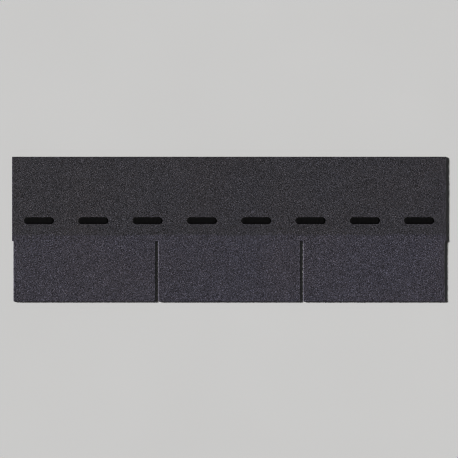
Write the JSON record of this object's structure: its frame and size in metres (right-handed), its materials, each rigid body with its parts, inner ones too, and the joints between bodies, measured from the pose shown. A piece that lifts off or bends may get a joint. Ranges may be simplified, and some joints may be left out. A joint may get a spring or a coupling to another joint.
{
  "type": "three-tab asphalt strip shingle",
  "caption": "Flat asphalt roofing strip shingle with rectangular tabs parted by narrow cutouts, mineral granules on its weather side and a dashed self-seal line above the tabs.",
  "frame": {"origin": "centre of the strip's outline, on its underside", "axes": "+X along the strip, +Y up the roof slope from the tabs to the top edge, +Z out of the weather side"},
  "size_m": [0.9144, 0.3048, 0.0036],
  "materials": {
    "granule_surface": "matte charcoal mineral granules bedded in asphalt",
    "sealant": "glossy black asphalt sealant"
  },
  "bodies": {
    "root": {"shingle_strip": "granule_surface", "sealant_dashes": "sealant"}
  },
  "joints": []
}
